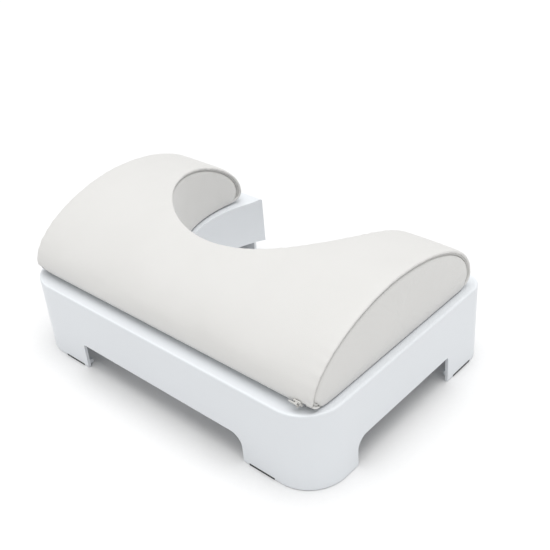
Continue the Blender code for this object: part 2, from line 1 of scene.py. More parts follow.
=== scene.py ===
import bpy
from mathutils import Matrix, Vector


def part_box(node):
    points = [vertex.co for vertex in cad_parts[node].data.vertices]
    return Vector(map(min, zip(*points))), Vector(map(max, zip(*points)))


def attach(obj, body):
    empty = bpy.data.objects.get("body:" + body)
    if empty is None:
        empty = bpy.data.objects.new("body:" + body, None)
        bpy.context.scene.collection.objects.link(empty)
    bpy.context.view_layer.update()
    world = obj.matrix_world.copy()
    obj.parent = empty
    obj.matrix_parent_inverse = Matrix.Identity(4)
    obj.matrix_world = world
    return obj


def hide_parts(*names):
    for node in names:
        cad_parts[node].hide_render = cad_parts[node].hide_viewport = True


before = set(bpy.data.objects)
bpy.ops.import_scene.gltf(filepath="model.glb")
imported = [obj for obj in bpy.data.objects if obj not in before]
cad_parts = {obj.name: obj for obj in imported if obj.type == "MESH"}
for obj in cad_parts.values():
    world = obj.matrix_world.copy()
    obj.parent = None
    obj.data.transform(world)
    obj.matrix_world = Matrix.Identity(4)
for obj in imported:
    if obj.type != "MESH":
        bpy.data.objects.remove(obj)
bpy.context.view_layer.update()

import math

import bmesh
import bpy
import numpy as np
from mathutils import Matrix, Vector

# ------------------------------------------------------------------ sizes, from the CAD frame
TOP_LOW, TOP_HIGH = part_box("cover_top_panel")
STAND_LOW, STAND_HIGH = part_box("stand_shell")
HALF_LENGTH = TOP_HIGH.x
HALF_WIDTH = TOP_HIGH.y
SEAT_Z = TOP_LOW.z
PILLOW_HEIGHT = TOP_HIGH.z - TOP_LOW.z

# the pillow's section and cut-out, as in the CAD
ROLL = 0.0140
FRONT_FULLNESS = 1.80               # superellipse exponents of the half-round section
REAR_FULLNESS = 2.00
ZIP_ANGLE = math.radians(20.0)
CUT_CENTRE_Y = 0.0850
CUT_RX = 0.1285
CUT_RY = 0.1320

# rolled edges of the cover's panels
LIP = 0.0013                        # radius of the top panel's edges
LOW_LIP = 0.0007                    # of the bottom panel's
ZIP_LIP = 0.0004                    # and of both along the zip
LIP_BLEND = 0.0020                  # length over which the end's edges thin out towards the zip
LIP_STEPS = 8                       # faces round an edge
EDGE_ROWS = LIP_STEPS + 2           # rows of points that are sewn down at each edge of a panel
LOW_SET_BACK = 0.0021               # from the top panel's edge to the bottom panel's
HALF_SLIT = 0.0002                  # from the zip's middle to the edge of each panel
REAR_GAP = 0.0003                   # between the panels at the rear seam
TUCK = 0.0014                       # how far an arm's rear end is turned in
TUCK_BACK = 0.0002
TOP_FOLD = 0.0024                   # cloth that runs back inside the top panel's edges
LOW_FOLD = 0.0012

# the upright panels' border, ring by ring inwards, as (depth under the skin, set back from the top
# panel's edge): hidden in the groove above, and turned in underneath
BORDER_ABOVE = np.array([(5.80, 4.20), (5.95, 3.10), (6.15, 2.10),
                         (6.60, 1.35), (7.40, 0.85), (8.60, 0.50)]) / 1000
BORDER_BELOW = np.array([(1.20, 2.40), (0.30, 2.30), (0.00, 1.70),
                         (0.30, 1.15), (1.00, 0.75), (2.20, 0.50)]) / 1000

# piping in the groove
PIPING_RADIUS = 0.0016
PIPING_DEPTH = 0.0043
PIPING_SET_BACK = 0.0027
PIPING_END = 0.0030                 # it stops this far short of the rear seam
PIPING_START = -0.0140              # and starts this far under the zip

# filling
TOP_SWELL = 0.0012                  # the most that the filling moves a point of the top panel
SIDE_SWELL = 0.0010                 # and of the upright panels
FILLING_PRESSURE = 0.6
CUT_DRAW = 0.0013                   # the cloth is drawn down this far at the cut-out's seam
END_DRAW = 0.0010
DRAW_REACH = 0.0045
PUCKER = 0.00020                    # height of the puckers beside the top panel's seams
PUCKER_REACH = 0.0100
SIDE_PUCKER = 0.00014               # and beside the upright panels'
UNEVEN = 0.00045                    # slow unevenness of the filling, away from the seams
CALM_REACH = 0.0200
END_CROWN = 0.0011
WALL_CROWN = 0.0010
CORNER_GIVE = 0.0021                # how far the lower front corners are rounded off
CORNER_WAY = (-0.45, 0.50, 0.74)    # inwards along x, rearwards and up
CORNER_REACH_X = 0.0120
CORNER_REACH = 0.0160
CORNER_BACK = 0.0040                # from the pillow's front to the middle of that rounding

# mesh density
SIDE_STEPS, FRONT_STEPS, STRIP_STEPS = 120, 68, 46
END_AROUND, END_RINGS = 420, 34
WALL_STEPS, WALL_RINGS = 150, 26
WALL_CROWDING = 1.4                 # the wall's points crowd towards the middle of the front
PIPING_STEPS, CUT_PIPING_STEPS = 170, 260
CORNER_STEPS, CIRCLE_STEPS = 28, 160

# the stand, as in the CAD
STAND_X = STAND_HIGH.x
STAND_Y = STAND_HIGH.y
RIM_Z = STAND_HIGH.z
STAND_FOOT_Z = STAND_LOW.z
WALL = 0.0036
FRONT_CORNER = 0.0433
REAR_CORNER = 0.0215
RIM_ROUND = 0.0016
FOOT_CHAMFER = 0.0008
RIM_LAND = 0.0025
DISH_DEPTH = 0.0024
DISH_SLOPE = 0.0150
DECK_TOP = RIM_Z - DISH_DEPTH
SKIRT_BOTTOM = RIM_Z - 0.0590
STAND_CUT_RADIUS = 0.1218
STAND_CUT_Y = 0.0748
LEG_EDGE_X = 0.1197
FRONT_LEG_EDGE_Y = -0.0785
REAR_LEG_EDGE_Y = 0.0743
NOTCH_ROUND = 0.0030
NOTCH_ROUND_WIDE = 0.0140
NOTCH_FROM_X = 0.15                 # the notches pass through the skirt alone, from this far out
NOTCH_FROM_Y = 0.10
FAR = 0.5                           # past the stand, for the cutting shapes
PADS = ("front_left", "front_right", "back_left", "back_right")
PAD_GAP = 0.0003
PAD_SEAT_SPARE = 0.0040
PAD_SEAT_DEPTH = 0.0100
PAD_SEAT_TOP = 0.0060
PAD_RECESS_PAST = 0.0040

SCENE = bpy.context.scene


# ------------------------------------------------------------------ materials
class Nodes:
    """A short way to write a material's node tree."""

    def __init__(self, name):
        self.material = bpy.data.materials.new(name)
        self.material.use_nodes = True
        self.tree = self.material.node_tree
        self.shader = self.tree.nodes["Principled BSDF"]
        coords = self.tree.nodes.new("ShaderNodeTexCoord")
        self.place = coords.outputs["Object"]

    def add(self, kind, inputs=(), **settings):
        node = self.tree.nodes.new(kind)
        for key, value in settings.items():
            setattr(node, key, value)
        for key, value in dict(inputs).items():
            socket = node.inputs[key]
            if isinstance(value, bpy.types.NodeSocket):
                self.tree.links.new(value, socket)
            else:
                socket.default_value = value
        return node

    def noise(self, scale, detail=3.0, roughness=0.5, place=None):
        return self.add("ShaderNodeTexNoise", {
            "Vector": place or self.place, "Scale": scale, "Detail": detail,
            "Roughness": roughness}).outputs["Fac"]

    def cells(self, scale):
        return self.add("ShaderNodeTexVoronoi", {"Vector": self.place, "Scale": scale},
                        feature="DISTANCE_TO_EDGE").outputs["Distance"]

    def bands(self, scale, direction, distortion=0.0, detail=None):
        inputs = {"Vector": self.place, "Scale": scale, "Distortion": distortion}
        if detail is not None:
            inputs["Detail"] = detail
        return self.add("ShaderNodeTexWave", inputs, wave_type="BANDS",
                        bands_direction=direction).outputs["Fac"]

    def stretched(self, scale):
        return self.add("ShaderNodeMapping", {"Vector": self.place,
                                              "Scale": scale}).outputs["Vector"]

    def ramp(self, value, low, high, start=0.0, end=1.0):
        return self.add("ShaderNodeMapRange", {
            "Value": value, "From Min": start, "From Max": end,
            "To Min": low, "To Max": high}).outputs["Result"]

    def product(self, a, b):
        return self.add("ShaderNodeMath", {0: a, 1: b}, operation="MULTIPLY").outputs[0]

    def tint(self, factor, start, first, end, second):
        """From the first colour at start to the second at end."""
        node = self.add("ShaderNodeValToRGB", {"Fac": factor})
        for stop, position, colour in zip(node.color_ramp.elements, (start, end), (first, second)):
            stop.position, stop.color = position, (*colour, 1)
        return node.outputs["Color"]

    def bump(self, height, distance, strength=1.0, under=None):
        inputs = {"Height": height, "Distance": distance, "Strength": strength}
        if under is not None:
            inputs["Normal"] = under
        return self.add("ShaderNodeBump", inputs).outputs["Normal"]

    def finish(self, colour, roughness, normal, **plain):
        for key, value in (("Base Color", colour), ("Roughness", roughness), ("Normal", normal)):
            self.tree.links.new(value, self.shader.inputs[key])
        for key, value in plain.items():
            self.shader.inputs[key.replace("_", " ")].default_value = value
        return self.material


def cover_material(name, low, high):
    """Soft coated cloth: a fine pebbled grain, faint mottling, and a little sheen."""
    n = Nodes(name)
    broad = n.noise(14.0, 4.0, 0.6)
    normal = n.bump(n.ramp(n.cells(900.0), 0.0, 1.0, 0.0, 0.35), 0.00010, 0.55)
    normal = n.bump(n.noise(2600.0, 2.0), 0.00006, 0.35, normal)
    normal = n.bump(n.noise(55.0, 3.0), 0.0009, 0.10, normal)
    return n.finish(n.tint(broad, 0.30, low, 0.70, high), n.ramp(broad, 0.50, 0.60, 0.3, 0.7),
                    normal, Sheen_Weight=0.25, Sheen_Roughness=0.5, Specular_IOR_Level=0.35)


def plastic_material():
    """Injection-moulded plastic with a very fine mould texture and faint flow marks."""
    n = Nodes("stand_plastic_moulded")
    broad = n.noise(6.0, 3.0, 0.5)
    tint = n.tint(broad, 0.30, (0.780, 0.806, 0.834), 0.70, (0.797, 0.824, 0.852))
    normal = n.bump(n.noise(1800.0, 2.0), 0.00004, 0.35)
    normal = n.bump(n.noise(11.0, 2.0), 0.0012, 0.06, normal)
    return n.finish(tint, n.ramp(broad, 0.30, 0.38, 0.3, 0.7), normal, Specular_IOR_Level=0.45)


def rubber_material():
    """Matt rubber with fine moulded ribs."""
    n = Nodes("foot_rubber_matt")
    speck = n.noise(1400.0, 3.0)
    tint = n.tint(speck, 0.35, (0.030, 0.031, 0.034), 0.65, (0.050, 0.051, 0.055))
    normal = n.bump(n.bands(160.0, "DIAGONAL"), 0.0002, 0.5)
    normal = n.bump(speck, 0.00006, 0.5, normal)
    return n.finish(tint, n.ramp(speck, 0.72, 0.88), normal)


def woven_material(name, light, dark, pitch):
    """A plain weave: two crossed sets of threads."""
    n = Nodes(name)
    cloth = n.product(n.bands(pitch, "X", 0.6, 1.0), n.bands(pitch, "Z", 0.6, 1.0))
    return n.finish(n.tint(cloth, 0.0, dark, 0.6, light), n.ramp(cloth, 0.75, 0.92),
                    n.bump(cloth, 0.0002, 0.7))


def foam_material(name, light, dark):
    """Open cells."""
    n = Nodes(name)
    cells = n.cells(700.0)
    return n.finish(n.tint(cells, 0.0, dark, 0.25, light), n.ramp(cells, 0.98, 0.85, 0.0, 0.3),
                    n.bump(cells, 0.0004, 0.8))


def zinc_material():
    """Plated zinc, finely brushed along the zip, its roughness varying with the brushing."""
    n = Nodes("zip_zinc_plated")
    brushed = n.noise(900.0, 3.0, 0.6, n.stretched((0.06, 1.0, 1.0)))
    tint = n.tint(n.noise(160.0, 3.0), 0.3, (0.26, 0.26, 0.28), 0.7, (0.42, 0.42, 0.44))
    return n.finish(tint, n.ramp(brushed, 0.26, 0.44), n.bump(brushed, 0.00004, 0.4), Metallic=1.0)


def enamel_material():
    """Pale enamel over zinc, with the faint ripple of a dipped coat."""
    n = Nodes("zip_enamel_coat")
    coat = n.noise(420.0, 3.0)
    tint = n.tint(coat, 0.3, (0.60, 0.59, 0.565), 0.7, (0.65, 0.64, 0.615))
    return n.finish(tint, n.ramp(coat, 0.30, 0.45), n.bump(coat, 0.00005, 0.4))


def nylon_material():
    """Nylon coil: its turns show as close ribs across the zip."""
    n = Nodes("zip_nylon_coil")
    turns = n.bands(260.0, "X")
    tint = n.tint(turns, 0.1, (0.50, 0.49, 0.47), 0.6, (0.76, 0.75, 0.72))
    return n.finish(tint, n.ramp(turns, 0.5, 0.35), n.bump(turns, 0.0003, 0.9))


def floor_material():
    """Matt studio paper."""
    n = Nodes("floor_paper")
    fibres = n.noise(240.0, 4.0, 0.6)
    tint = n.tint(fibres, 0.3, (0.865, 0.865, 0.865), 0.7, (0.880, 0.880, 0.880))
    return n.finish(tint, n.ramp(fibres, 0.90, 0.97), n.bump(fibres, 0.0002, 0.1))


COVER = cover_material("cover_grain", (0.712, 0.706, 0.688), (0.728, 0.722, 0.705))
# the piping's cloth is the cover's grain made darker: painted shade for the groove the piping lies
# in
PAINTED_SHADE_PIPING_CLOTH = cover_material("piping_painted_shade", (0.530, 0.525, 0.508), (0.552, 0.547, 0.530))
PLASTIC = plastic_material()
RUBBER = rubber_material()
LINER = woven_material("liner_weave", (0.80, 0.80, 0.79), (0.62, 0.62, 0.61), 420.0)
TAPE = woven_material("zip_tape_weave", (0.74, 0.73, 0.71), (0.52, 0.51, 0.49), 520.0)
SOFT_FOAM = foam_material("soft_foam_cells", (0.86, 0.82, 0.66), (0.62, 0.57, 0.42))
FIRM_FOAM = foam_material("firm_foam_cells", (0.66, 0.74, 0.79), (0.42, 0.50, 0.56))
ZINC = zinc_material()
ENAMEL = enamel_material()
NYLON = nylon_material()


# ------------------------------------------------------------------ making pieces
def piece(name, mesh, material, body, slot, *nodes):
    """A finished mesh as a shown piece that rides on a body and stands for CAD nodes."""
    mesh.name = name
    obj = bpy.data.objects.new(name, mesh)
    SCENE.collection.objects.link(obj)
    mesh.materials.clear()
    mesh.materials.append(material)
    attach(obj, body)
    if nodes:
        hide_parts(*nodes)
    return obj


def round_edges(obj, width, segments, angle):
    """Small rounds on an object's edges that are sharper than an angle in degrees."""
    soften = obj.modifiers.new("soft_edges", "BEVEL")
    soften.width = width
    soften.segments = segments
    soften.limit_method = "ANGLE"
    soften.angle_limit = math.radians(angle)
    return soften


def grid_mesh(name, grid, loop=False, flip=False, held=None):
    """A smooth mesh through a rows x columns x 3 grid of points.

    With loop, the last row is joined to the first. held is 1 at the points that are sewn down, for
    the cloth simulation.
    """
    grid = np.asarray(grid, float)
    rows, columns = grid.shape[:2]
    work = bmesh.new()
    sewn = work.verts.layers.float.new("sewn")
    verts = [[work.verts.new(p) for p in row] for row in grid]
    marks = np.broadcast_to(0.0 if held is None else held, (rows, columns))
    for line, line_marks in zip(verts, marks):
        for vert, mark in zip(line, line_marks):
            vert[sewn] = mark
    for i in range(rows if loop else rows - 1):
        here, there = verts[i], verts[(i + 1) % rows]
        for j in range(columns - 1):
            corners = (here[j], here[j + 1], there[j + 1], there[j])
            work.faces.new(tuple(reversed(corners)) if flip else corners)
    bmesh.ops.remove_doubles(work, verts=work.verts, dist=1e-6)
    bmesh.ops.dissolve_degenerate(work, edges=work.edges, dist=1e-7)
    mesh = bpy.data.meshes.new(name)
    work.to_mesh(mesh)
    work.free()
    mesh.shade_smooth()
    return mesh


def settled(mesh, move, sewn, rounds=10):
    """A field of moves, evened out between neighbouring points; sewn points don't take part."""
    ends = np.zeros(len(mesh.edges) * 2, np.int32)
    mesh.edges.foreach_get("vertices", ends)
    a, b = ends.reshape(-1, 2).T
    count = len(mesh.vertices)
    neighbours = np.maximum(np.bincount(a, minlength=count) + np.bincount(b, minlength=count), 1)
    free = (sewn < 0.5)[:, None]
    for _ in range(rounds):
        total = np.stack([np.bincount(a, move[b, k], count) + np.bincount(b, move[a, k], count)
                          for k in range(3)], axis=1)
        move = np.where(free, 0.5 * move + 0.5 * total / neighbours[:, None], move)
    return move


def upholster(mesh, most, frames=12):
    """Swell a panel by cloth simulation: the filling presses it out and its sewn points stay.

    No point moves further than most.
    """
    obj = bpy.data.objects.new("upholstery", mesh)
    SCENE.collection.objects.link(obj)
    marks = np.zeros(len(mesh.vertices), np.float32)
    mesh.attributes["sewn"].data.foreach_get("value", marks)
    group = obj.vertex_groups.new(name="sewn")
    group.add([int(i) for i in np.nonzero(marks > 0.5)[0]], 1.0, "REPLACE")
    cloth = obj.modifiers.new("upholstery", "CLOTH")
    look = cloth.settings
    look.quality = 4
    look.mass = 0.3
    look.tension_stiffness = look.compression_stiffness = 18
    look.shear_stiffness = 8
    look.bending_stiffness = 4.0
    look.air_damping = 4
    look.use_pressure = True
    look.uniform_pressure_force = FILLING_PRESSURE
    look.shrink_min = look.shrink_max = -0.0008
    look.vertex_group_mass = "sewn"
    look.effector_weights.gravity = 0
    cloth.collision_settings.use_collision = False
    cloth.point_cache.frame_start, cloth.point_cache.frame_end = 1, frames
    for number in range(1, frames + 1):
        SCENE.frame_set(number)
    graph = bpy.context.evaluated_depsgraph_get()
    shaped = obj.evaluated_get(graph).to_mesh()
    before, after = np.zeros(len(marks) * 3), np.zeros(len(marks) * 3)
    mesh.vertices.foreach_get("co", before)
    shaped.vertices.foreach_get("co", after)
    obj.evaluated_get(graph).to_mesh_clear()
    before, after = before.reshape(-1, 3), after.reshape(-1, 3)
    move = settled(mesh, after - before, marks)
    size = np.linalg.norm(move, axis=1, keepdims=True)
    move *= most * np.tanh(size / most) / np.maximum(size, 1e-9)
    mesh.vertices.foreach_set("co", (before + move).ravel())
    bpy.data.objects.remove(obj, do_unlink=True)
    SCENE.frame_set(1)
    mesh.update()
    return mesh


# ------------------------------------------------------------------ small sums
def unit(vectors):
    return vectors / np.linalg.norm(vectors, axis=-1, keepdims=True)


def distances(path):
    """How far along a path each of its points is."""
    return np.concatenate([[0], np.cumsum(np.linalg.norm(np.diff(path, axis=0), axis=1))])


def evenly(path, count):
    """A path in count equal steps."""
    at = distances(path)
    where = np.linspace(0, at[-1], count + 1)
    return np.stack([np.interp(where, at, path[:, k]) for k in range(path.shape[1])], axis=1)


def mirrored(path):
    """A path that ends at x = 0, and back along its mirror image."""
    other = path[-2::-1].copy()
    other[:, 0] *= -1
    return np.vstack([path, other])


def smooth(value, start, end):
    share = np.clip((np.asarray(value, float) - start) / (end - start), 0, 1)
    return share * share * (3 - 2 * share)


def wavering(along, seed, amplitude, shortest=0.009, longest=0.034, waves=7):
    """A steady sum of sine waves of irregular lengths, for puckers along a seam."""
    rng = np.random.default_rng(seed)
    lengths = np.exp(rng.uniform(math.log(shortest), math.log(longest), waves))
    phases = rng.uniform(0, 2 * math.pi, waves)
    total = sum(np.sin(2 * math.pi * along / length + phase)
                for length, phase in zip(lengths, phases))
    return amplitude * total / math.sqrt(waves)


# ------------------------------------------------------------------ the pillow's section
def section_curve(step=0.0005):
    """The D-section in equal steps from the zip, up the front: distances, (y, z) and inward."""
    half, rise = HALF_WIDTH, PILLOW_HEIGHT - ROLL
    points = []
    for a in np.linspace(ZIP_ANGLE, 0, 60, endpoint=False):
        points.append((-(half - ROLL) - ROLL * math.cos(a), ROLL * (1 - math.sin(a))))
    for a in np.linspace(0, math.pi, 4000, endpoint=False):
        fullness = FRONT_FULLNESS if a < math.pi / 2 else REAR_FULLNESS
        side = math.copysign(abs(math.cos(a)) ** (2 / fullness), math.cos(a))
        points.append((-half * side, ROLL + rise * math.sin(a) ** (2 / fullness)))
    for a in np.linspace(0, math.pi / 2, 200, endpoint=False):
        points.append((half - ROLL + ROLL * math.cos(a), ROLL * (1 - math.sin(a))))
    points.append((half - ROLL, 0.0))
    for a in np.linspace(math.pi / 2, ZIP_ANGLE, 160):
        points.append((-(half - ROLL) - ROLL * math.cos(a), ROLL * (1 - math.sin(a))))
    points = np.array(points)
    at = distances(points)
    s = np.linspace(0, at[-1], int(at[-1] / step) + 1)
    run = np.stack([np.interp(s, at, points[:, k]) for k in (0, 1)], axis=1)
    ahead = unit(np.roll(run[:-1], -3, axis=0) - np.roll(run[:-1], 3, axis=0))
    inward = np.stack([ahead[:, 1], -ahead[:, 0]], axis=1)
    return s, run, np.vstack([inward, inward[:1]])


SECTION_S, SECTION_YZ, SECTION_IN = section_curve()
GIRTH = SECTION_S[-1]


def section(s, inset=0.0):
    """Points (y, z) at distances s round the seated section, moved inwards by inset."""
    s = np.asarray(s, float) % GIRTH
    place = np.stack([np.interp(s, SECTION_S, SECTION_YZ[:, k]) for k in (0, 1)], axis=-1)
    inward = np.stack([np.interp(s, SECTION_S, SECTION_IN[:, k]) for k in (0, 1)], axis=-1)
    place = place + inward * np.asarray(inset, float)[..., None]
    place[..., 1] += SEAT_Z
    return place


def first_s(test):
    """The distance of the first point of the section that passes a test on (y, z)."""
    return SECTION_S[next(i for i, p in enumerate(SECTION_YZ) if test(p))]


REAR_SEAM = first_s(lambda p: p[0] > 0 and p[1] <= 1e-5) + 0.004
REAR_EDGE = first_s(lambda p: p[0] > HALF_WIDTH - 1e-5)
CREST = SECTION_S[int(np.argmax(SECTION_YZ[:, 1]))]
FRONT_START = CREST * 0.2           # low on the front, past the foot of the cut-out's middle
ROLL_START = GIRTH - ROLL * (math.pi / 2 - ZIP_ANGLE)   # where the flat turns up to the zip


def softened(points):
    """Points of the cover, with the filling's lower front corners rounded off a little."""
    points = np.array(points, float)
    from_end = np.maximum(HALF_LENGTH - np.abs(points[..., 0]), 0)
    from_corner = np.hypot(points[..., 1] + HALF_WIDTH - CORNER_BACK, points[..., 2] - SEAT_Z)
    amount = (CORNER_GIVE * np.exp(-(from_end / CORNER_REACH_X) ** 2)
              * np.exp(-(from_corner / CORNER_REACH) ** 2))
    points[..., 0] += CORNER_WAY[0] * amount * np.sign(points[..., 0])
    points[..., 1] += CORNER_WAY[1] * amount
    points[..., 2] += CORNER_WAY[2] * amount
    return points


def skin(x, s, inset):
    """3-D points of the pillow's skin from flat-pattern coordinates."""
    yz = section(s, inset)
    return softened(np.stack([np.broadcast_to(x, yz.shape[:-1]), yz[..., 0], yz[..., 1]], axis=-1))


def underneath(s):
    """1 on the flat underside, where the upright panels come out to the edge, and 0 above."""
    s = np.asarray(s, float) % GIRTH
    return (smooth(s, REAR_SEAM - 0.013, REAR_SEAM - 0.001)
            * (1 - smooth(s, ROLL_START - 0.003, ROLL_START + 0.009)))


# ------------------------------------------------------------------ top and bottom panels
def cut_path(s_rear, s_front, grow):
    """The cut-out's edge on the flat pattern, from the right arm's rear to the front's middle."""
    rx, ry = CUT_RX + grow, CUT_RY + grow
    s = np.linspace(s_rear, s_front, 20000)
    y = np.interp(s % GIRTH, SECTION_S, SECTION_YZ[:, 0])
    reach = 1 - ((y - CUT_CENTRE_Y) / ry) ** 2
    last = int(np.argmax(reach < 0))
    path = np.stack([rx * np.sqrt(np.maximum(reach[:last], 0)), s[:last]], axis=1)
    return np.vstack([path, [0.0, s[last]]])


def outer_edge(s_rear, s_front, toward):
    """A panel's outer edge on the flat pattern, which way is out of it, and its edge's radius.

    It runs from the right arm's rear along the end, the zip and the other end.
    """
    edge_s = s_front - toward * ZIP_LIP
    side_s = np.linspace(s_rear, edge_s, SIDE_STEPS, endpoint=False)
    side_lip = LIP + (LOW_LIP - LIP) * underneath(side_s)
    side_lip = ZIP_LIP + (side_lip - ZIP_LIP) * smooth(np.abs(side_s - s_front), 0.0, LIP_BLEND)
    side_x = HALF_LENGTH - LOW_SET_BACK * underneath(side_s) - side_lip
    front_x = np.linspace(HALF_LENGTH - ZIP_LIP, 0, FRONT_STEPS + 1)
    path = mirrored(np.vstack([np.stack([side_x, side_s], axis=1),
                               np.stack([front_x, np.full(FRONT_STEPS + 1, edge_s)], axis=1)]))
    lip = np.concatenate([side_lip, np.full(FRONT_STEPS + 1, ZIP_LIP)])
    out = np.zeros_like(path)
    out[:SIDE_STEPS + 1, 0] = 1
    out[SIDE_STEPS + 1:SIDE_STEPS + 2 * FRONT_STEPS, 1] = toward
    out[SIDE_STEPS + 2 * FRONT_STEPS:, 0] = -1
    return path, out, np.concatenate([lip, lip[-2::-1]])


def drawn_in(x, s, depth, inner):
    """The top panel's depths, drawn down to the sewn edges, puckered beside them and uneven."""
    from_cut = np.linalg.norm(np.stack([x, s], -1) - inner[None], axis=-1)
    from_cut[:EDGE_ROWS] = 0
    from_end = np.maximum(HALF_LENGTH - LIP - np.abs(x), 0)
    depth = depth + CUT_DRAW * np.exp(-from_cut / DRAW_REACH)
    depth = depth + END_DRAW * np.exp(-from_end / DRAW_REACH) * smooth(s, 0.0, 0.012)
    depth = depth + wavering(distances(inner), 11, PUCKER)[None] * np.exp(-from_cut / PUCKER_REACH)
    depth = depth + wavering(s, 12, PUCKER) * np.exp(-from_end / PUCKER_REACH)
    swell = (np.sin(x * 23 + 0.7) * np.sin(s * 31 + 1.1) + 0.6 * np.sin(x * 47 - s * 29 + 2.0))
    calm = 1 - np.exp(-np.minimum(from_cut, from_end) / CALM_REACH)
    return depth - UNEVEN * swell * calm * smooth(s, 0.0, CALM_REACH)


def cover_panel(name, s_rear, s_front, cut_grow, cut_lip, fold, shape=None):
    """A C-shaped cover panel: a strip from the cut-out's edge to the outer edge.

    Its edges are rolled, and the cloth runs back inside them by fold. shape changes the depths of
    its points under the skin.
    """
    toward = math.copysign(1.0, s_front - s_rear)
    inner = mirrored(evenly(cut_path(s_rear, s_front, cut_grow + cut_lip),
                            SIDE_STEPS + FRONT_STEPS))
    outer, out, lip = outer_edge(s_rear, s_front, toward)
    run = unit(np.gradient(inner, axis=0))
    to_cut = np.stack([-run[:, 1], run[:, 0]], axis=1)
    to_cut *= -np.sign(((outer - inner) * to_cut).sum(axis=1, keepdims=True))
    turns = np.radians(np.linspace(180, 0, LIP_STEPS + 1))
    share = np.linspace(0, 1, STRIP_STEPS + 1)
    share = 0.55 * share + 0.45 * (0.5 - 0.5 * np.cos(math.pi * share))
    # rows across the strip, as flat-pattern places and depths: the fold inside the cut-out's edge,
    # round that edge, over the panel, round the outer edge, and the fold inside it
    rows = [(inner - to_cut * fold, 2 * cut_lip)]
    rows += [(inner + to_cut * cut_lip * math.sin(a), cut_lip * (1 - math.cos(a)))
             for a in turns[:-1]]
    rows += [(inner + (outer - inner) * u, 0.0) for u in share]
    rows += [(outer + out * lip[:, None] * math.sin(a), lip * (1 - math.cos(a)))
             for a in turns[-2::-1]]
    rows += [(outer - out * fold, 2 * lip)]
    x = np.array([place[:, 0] for place, _ in rows])
    s = np.array([place[:, 1] for place, _ in rows])
    depth = np.array([np.broadcast_to(low, len(inner)) for _, low in rows], float)
    if shape is not None:
        depth = shape(x, s, depth, inner)
    tucks = [skin(x[:, k], s[:, k] - toward * TUCK_BACK, depth[:, k] + TUCK) for k in (0, -1)]
    grid = np.concatenate([tucks[0][:, None], skin(x, s, depth), tucks[1][:, None]], axis=1)
    held = np.zeros(grid.shape[:2])
    held[:EDGE_ROWS] = held[-EDGE_ROWS:] = 1
    held[:, :3] = held[:, -3:] = 1
    return grid_mesh(name, grid, flip=toward > 0, held=held)


# ------------------------------------------------------------------ upright panels
def border_rings(s):
    """The upright panels' border, ring by ring inwards: depth under the skin, and set back."""
    low = underneath(s)
    return [(above[0] + (below[0] - above[0]) * low, above[1] + (below[1] - above[1]) * low)
            for above, below in zip(BORDER_ABOVE, BORDER_BELOW)]


def end_panel(name, sign):
    """A D-shaped end: its border dives into the seam, and its middle is softly crowned."""
    s = np.linspace(0, GIRTH, END_AROUND, endpoint=False)
    rows = [np.column_stack([HALF_LENGTH - set_back, section(s, depth)])
            for depth, set_back in border_rings(s)]
    border = rows[-1]
    centre = np.array([0.0, SEAT_Z + PILLOW_HEIGHT * 0.42])
    puckers = wavering(s, 31 if sign > 0 else 32, SIDE_PUCKER)
    for share in np.linspace(0, 1, END_RINGS)[1:]:
        yz = border[:, 1:] + (centre - border[:, 1:]) * share
        crown = END_CROWN * (1 - (1 - share) ** 3.0)
        rows.append(np.column_stack([border[:, 0] + crown + puckers * math.exp(-share * 6), yz]))
    grid = softened(np.array(rows).transpose(1, 0, 2))
    grid[..., 0] *= sign
    held = (np.arange(grid.shape[1]) < len(BORDER_ABOVE) - 1).astype(float)
    return grid_mesh(name, grid, loop=True, flip=sign < 0, held=held)


def wall_edge(s, ring):
    """One border ring of the cut-out's wall, from an arm's rear to the middle of the front.

    It gives the angle round the cut-out, the height and the set back of each point.
    """
    depth, set_back = border_rings(s)[ring]
    yz = section(s, depth)
    order = np.argsort(yz[:, 0])
    yz, set_back = yz[order], np.broadcast_to(set_back, s.shape)[order]
    ry = CUT_RY + set_back.mean()
    end = math.asin(min((yz[-1, 0] - CUT_CENTRE_Y) / ry, 1.0))
    angle = -math.pi / 2 + (end + math.pi / 2) * np.linspace(1, 0, WALL_STEPS) ** WALL_CROWDING
    y = CUT_CENTRE_Y + ry * np.sin(angle)
    return angle, np.interp(y, yz[:, 0], yz[:, 1]), np.interp(y, yz[:, 0], set_back)


def cutout_wall(name):
    """The upright lining of the cut-out: its border dives into the seams, its middle is crowned."""
    top_s = np.linspace(FRONT_START, REAR_EDGE, 4000)
    low_s = np.linspace(REAR_EDGE, ROLL_START, 4000)
    rings = len(BORDER_ABOVE)
    rows = [wall_edge(low_s, k) for k in range(rings)]
    low, high = rows[-1], wall_edge(top_s, rings - 1)
    for share in 0.5 - 0.5 * np.cos(np.linspace(0, math.pi, WALL_RINGS))[1:-1]:
        angle, z, set_back = ((1 - share) * a + share * b for a, b in zip(low, high))
        tall = np.clip((high[1] - low[1]) / 0.03, 0, 1)
        rows.append((angle, z, set_back - WALL_CROWN * (1 - (2 * share - 1) ** 2) * tall))
    rows += [wall_edge(top_s, k) for k in reversed(range(rings))]
    lines = []
    for angle, z, set_back in rows:
        angle = np.concatenate([angle, -math.pi - angle[-2::-1]])
        z = np.concatenate([z, z[-2::-1]])
        grow = np.concatenate([set_back, set_back[-2::-1]])
        lines.append(np.column_stack([(CUT_RX + grow) * np.cos(angle),
                                      CUT_CENTRE_Y + (CUT_RY + grow) * np.sin(angle), z]))
    grid = np.array(lines)
    # puckers beside both seams, level and away from the cut-out's middle
    puckers = wavering(np.linspace(0, 0.42, grid.shape[1]), 41, SIDE_PUCKER)[:, None]
    fade = np.zeros(len(rows))
    fade[rings:rings + 6] = fade[-rings - 6:-rings] = 0.6
    outward = grid - np.array([0, CUT_CENTRE_Y, 0])
    outward[..., 2] = 0
    grid = grid + unit(outward) * puckers[None] * fade[:, None, None]
    held = np.zeros(len(rows))
    held[:rings - 1] = held[1 - rings:] = 1
    return grid_mesh(name, grid.transpose(1, 0, 2), flip=True, held=held)


